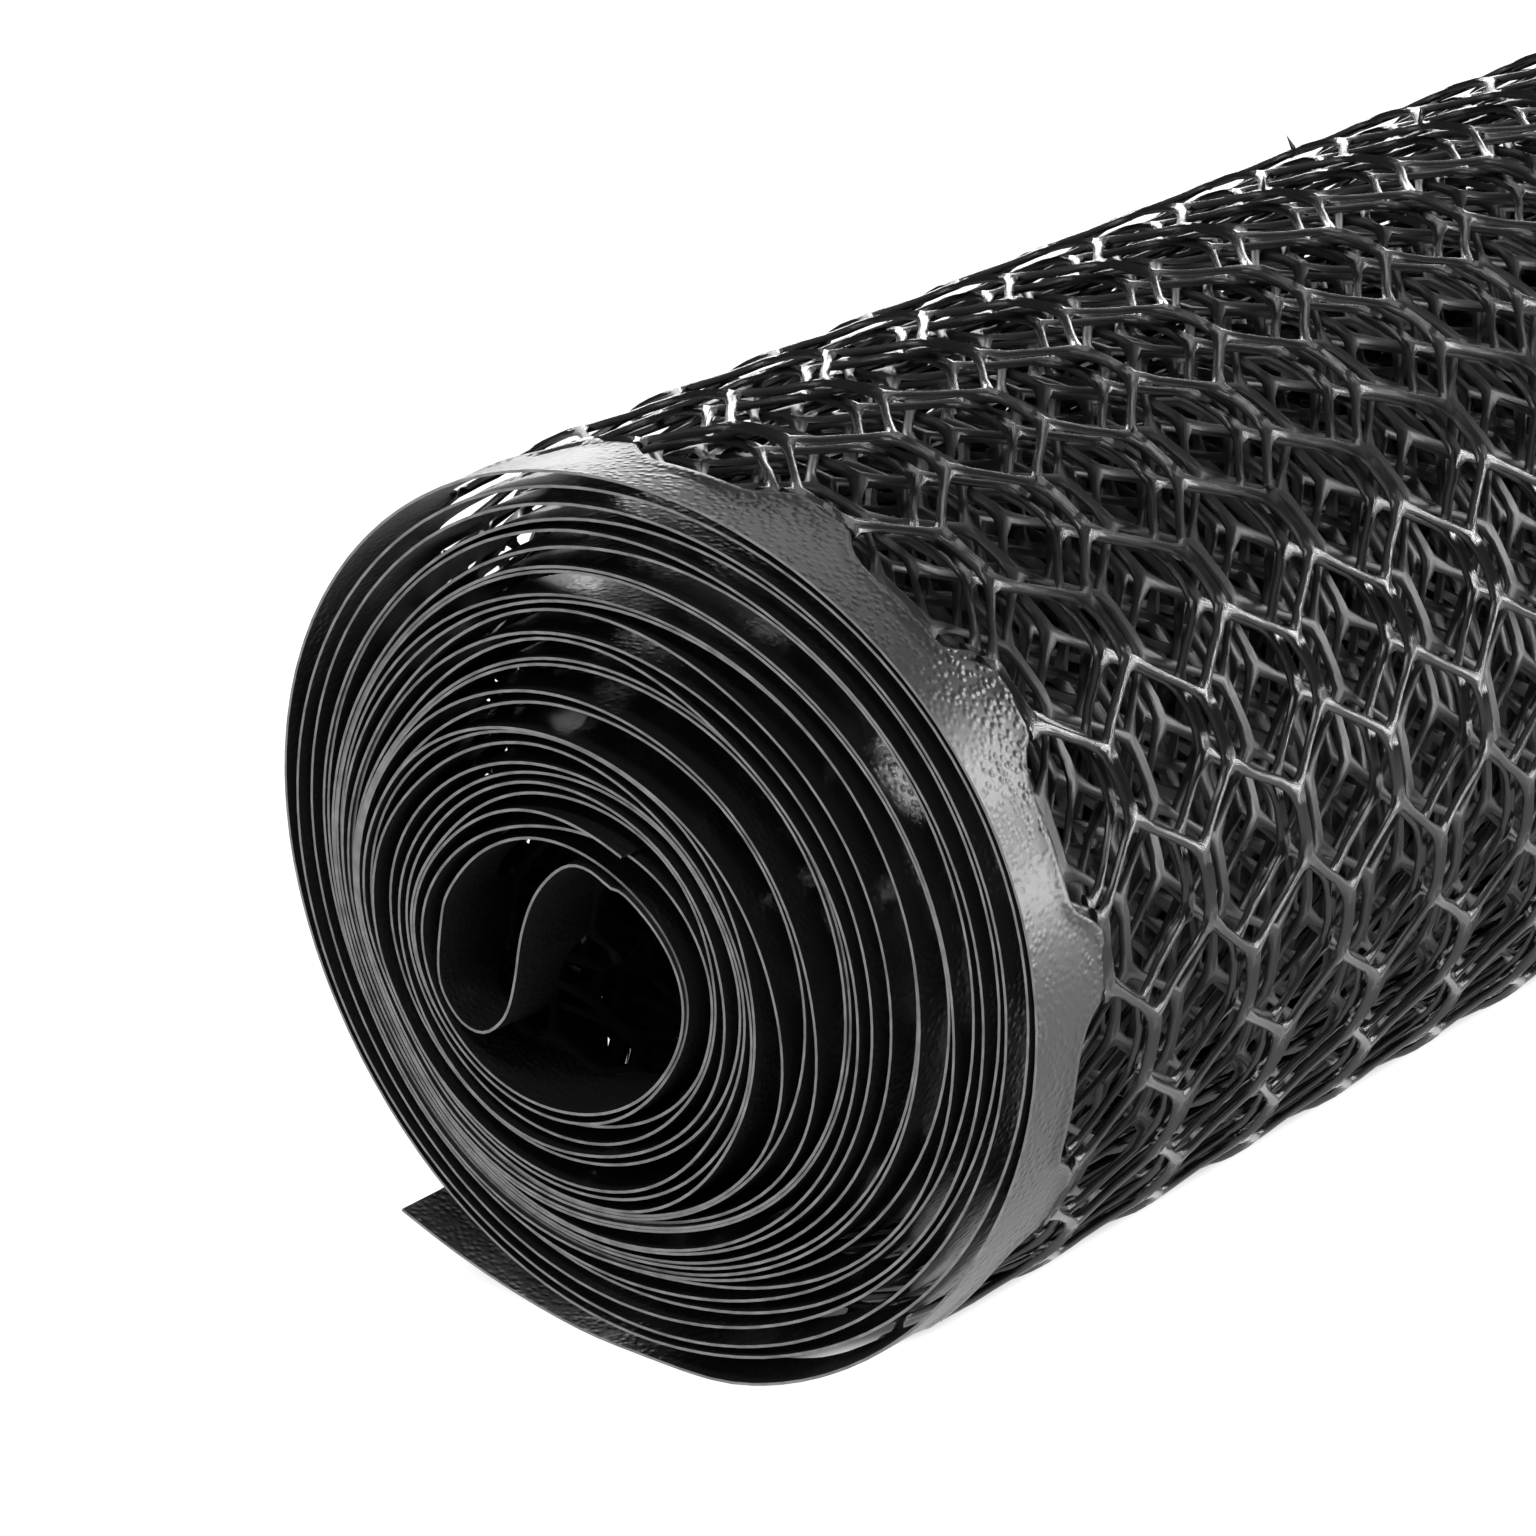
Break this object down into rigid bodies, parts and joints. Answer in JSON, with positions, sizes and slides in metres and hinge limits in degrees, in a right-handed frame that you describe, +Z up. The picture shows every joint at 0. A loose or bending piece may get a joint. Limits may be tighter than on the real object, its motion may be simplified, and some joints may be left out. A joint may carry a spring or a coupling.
{
  "type": "roll of plastic mesh fencing",
  "caption": "Roll of black plastic hexagonal mesh fencing with smooth selvedges, lying on its side with its outer end loose.",
  "frame": {"origin": "on the ground, under the middle of the roll's bounding box", "axes": "+Y along the roll from its near end to its far end, +Z up, +X to the right seen from the near end"},
  "size_m": [0.0977, 0.5, 0.0952],
  "materials": {
    "black_plastic": "extruded polyethylene, glossy, with duller cut edges"
  },
  "bodies": {
    "root": {"mesh_roll": "black_plastic", "loose_end": "black_plastic"}
  },
  "joints": []
}
